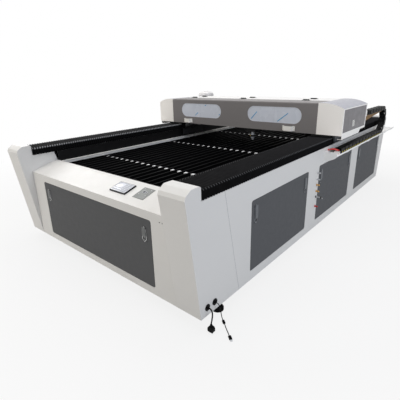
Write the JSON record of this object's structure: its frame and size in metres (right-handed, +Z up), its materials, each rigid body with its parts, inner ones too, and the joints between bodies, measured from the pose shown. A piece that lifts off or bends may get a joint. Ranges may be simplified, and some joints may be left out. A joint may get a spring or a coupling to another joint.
{
  "type": "carbon dioxide laser cutter",
  "caption": "Flat-bed laser cutter: long sheet-metal cabinet, slatted bed between bellows-covered guides, housed travelling gantry with windows, cable chain.",
  "frame": {"origin": "on the floor, under the middle of the body's width and length", "axes": "+Y runs along the bed from the operator's end to the rear, +X to the side with the cable chain, +Z up"},
  "size_m": [2.2636, 3.71, 1.168],
  "materials": {
    "frame": "satin black coat on welded tube",
    "leveling_feet": "black pads",
    "body_panels": "fine textured warm white powder coat",
    "control_desk": "fine textured warm white powder coat",
    "chain_tray": "fine textured warm white powder coat",
    "keypad": "brushed silver face on a black base",
    "socket_plate": "satin grey",
    "well_walls": "matt black",
    "bed_crossbars": "bright drawn aluminium",
    "bed_slats": "black anodised blades",
    "edge_rails": "plain drawn aluminium",
    "dust_hopper": "dusty dark coat",
    "exhaust_spigots": "galvanised",
    "guides": "ground steel",
    "power_supplies": "grey boxes",
    "hose_fittings": "turned metal and plastic unions",
    "cord_grommets": "black",
    "power_cord": "black sheath",
    "power_plug": "black moulding with plated blades",
    "usb_cord": "black sheath",
    "usb_plug": "black moulding with a plated tip",
    "red_hoses": "smooth red hose",
    "gantry_beam": "grey coat",
    "gantry_plates": "milled plate",
    "housing_panels": "fine textured warm white powder coat",
    "laser_tube": "clear tube",
    "tube_clamps": "black clamps",
    "cover_hinges": "black hinges",
    "front_cover": "fine textured warm grey powder coat",
    "cover_windows": "clear sheet under protective film",
    "cover_handles": "silver strap",
    "end_panels": "dark grey powder coat",
    "doors": "dark grey powder coat",
    "door_latches": "black levers",
    "bellows": "pleated coated cloth",
    "cable_chain": "black nylon links",
    "head_carriage": "anodised blocks",
    "focus_tube": "turned aluminium",
    "fume_fan": "light coat"
  },
  "bodies": {
    "base": {"frame": "frame", "leveling_feet": "leveling_feet", "front_panel": "body_panels", "control_desk": "control_desk", "front_corners": "body_panels", "rear_corners": "body_panels", "side_panel_right": "body_panels", "side_panel_left": "body_panels", "rear_panel": "body_panels", "chain_tray": "chain_tray", "keypad": "keypad", "socket_plate": "socket_plate", "well_walls": "well_walls", "bed_crossbars": "bed_crossbars", "bed_slats": "bed_slats", "edge_rails": "edge_rails", "dust_hopper": "dust_hopper", "exhaust_spigots": "exhaust_spigots", "y_rails": "guides", "power_supplies": "power_supplies", "hose_fittings": "hose_fittings", "cord_grommets": "cord_grommets", "power_cord": "power_cord", "power_plug": "power_plug", "usb_cord": "usb_cord", "usb_plug": "usb_plug", "red_hoses": "red_hoses", "bellows_front": "bellows", "bellows_rear": "bellows", "chain_lower": "cable_chain"},
    "gantry": {"gantry_beam": "gantry_beam", "gantry_plates": "gantry_plates", "y_carriages": "guides", "housing_spine": "housing_panels", "end_cap_left": "housing_panels", "end_cap_right": "housing_panels", "laser_tube": "laser_tube", "tube_clamps": "tube_clamps", "x_rail": "guides", "cover_hinges": "cover_hinges", "fume_fan": "fume_fan", "chain_upper": "cable_chain"},
    "head": {"head_carriage": "head_carriage"},
    "focus": {"focus_tube": "focus_tube"},
    "front_cover": {"front_cover": "front_cover", "cover_windows": "cover_windows", "cover_handles": "cover_handles"},
    "rear_cover": {"rear_cover": "housing_panels"},
    "end_panel_right": {"end_panel_right": "end_panels"},
    "end_panel_left": {"end_panel_left": "end_panels"},
    "front_door": {"front_door": "doors"},
    "front_latches": {"front_door_latches": "door_latches"},
    "right_door_1": {"right_door_1": "doors"},
    "right_latches_1": {"right_door_1_latches": "door_latches"},
    "right_door_2": {"right_door_2": "doors"},
    "right_latches_2": {"right_door_2_latches": "door_latches"},
    "right_door_3": {"right_door_3": "doors"},
    "right_latches_3": {"right_door_3_latches": "door_latches"},
    "chain_loop_lower": {"chain_bend_lower": "cable_chain"},
    "chain_loop_upper": {"chain_bend_upper": "cable_chain"}
  },
  "joints": [
    {"name": "gantry_travel", "type": "slide", "parent": "base", "child": "gantry", "axis": [0, 1, 0], "range_m": [-1.5, 0.9], "deforming": ["bellows_front", "bellows_rear", "chain_lower", "chain_upper"]},
    {"name": "head_travel", "type": "slide", "parent": "gantry", "child": "head", "axis": [1, 0, 0], "range_m": [-0.85, 0.55]},
    {"name": "head_focus", "type": "slide", "parent": "head", "child": "focus", "axis": [0, 0, 1], "range_m": [-0.012, 0.012]},
    {"name": "front_cover_flip", "type": "hinge", "parent": "gantry", "child": "front_cover", "pos_m": [0, 0.24, 1.12], "axis": [-1, 0, 0], "range_deg": [0, 105]},
    {"name": "rear_cover_flip", "type": "hinge", "parent": "gantry", "child": "rear_cover", "pos_m": [0, 0.42, 1.12], "axis": [1, 0, 0], "range_deg": [0, 105]},
    {"name": "end_panel_right_flip", "type": "hinge", "parent": "gantry", "child": "end_panel_right", "pos_m": [1.081, 0.29, 1.0615], "axis": [0, -1, 0], "range_deg": [0, 110]},
    {"name": "end_panel_left_flip", "type": "hinge", "parent": "gantry", "child": "end_panel_left", "pos_m": [-1.081, 0.29, 1.0615], "axis": [0, 1, 0], "range_deg": [0, 110]},
    {"name": "front_door_tilt", "type": "hinge", "parent": "base", "child": "front_door", "pos_m": [0, -1.76, 0.132], "axis": [1, 0, 0], "range_deg": [0, 80]},
    {"name": "front_latches_turn", "type": "hinge", "parent": "front_door", "child": "front_latches", "pos_m": [0, -1.7633, 0.517], "axis": [-1, 0, 0], "range_deg": [0, 40]},
    {"name": "right_door_1_tilt", "type": "hinge", "parent": "base", "child": "right_door_1", "pos_m": [1, -0.86, 0.149], "axis": [0, 1, 0], "range_deg": [0, 80]},
    {"name": "right_latches_1_turn", "type": "hinge", "parent": "right_door_1", "child": "right_latches_1", "pos_m": [1.0033, -0.86, 0.587], "axis": [0, -1, 0], "range_deg": [0, 40]},
    {"name": "right_door_2_tilt", "type": "hinge", "parent": "base", "child": "right_door_2", "pos_m": [1, 0.175, 0.149], "axis": [0, 1, 0], "range_deg": [0, 80]},
    {"name": "right_latches_2_turn", "type": "hinge", "parent": "right_door_2", "child": "right_latches_2", "pos_m": [1.0033, 0.175, 0.587], "axis": [0, -1, 0], "range_deg": [0, 40]},
    {"name": "right_door_3_tilt", "type": "hinge", "parent": "base", "child": "right_door_3", "pos_m": [1, 1.21, 0.149], "axis": [0, 1, 0], "range_deg": [0, 80]},
    {"name": "right_latches_3_turn", "type": "hinge", "parent": "right_door_3", "child": "right_latches_3", "pos_m": [1.0033, 1.21, 0.587], "axis": [0, -1, 0], "range_deg": [0, 40]},
    {"name": "chain_loop_travel", "type": "slide", "parent": "base", "child": "chain_loop_lower", "axis": [0, 1, 0], "range_m": [-0.75, 0.45]},
    {"name": "chain_loop_return", "type": "slide", "parent": "gantry", "child": "chain_loop_upper", "axis": [0, 1, 0], "range_m": [-0.45, 0.75]}
  ],
  "couplings": [
    {"joint": "chain_loop_travel", "follows": "gantry_travel", "ratio": 0.5},
    {"joint": "chain_loop_return", "follows": "gantry_travel", "ratio": -0.5}
  ]
}
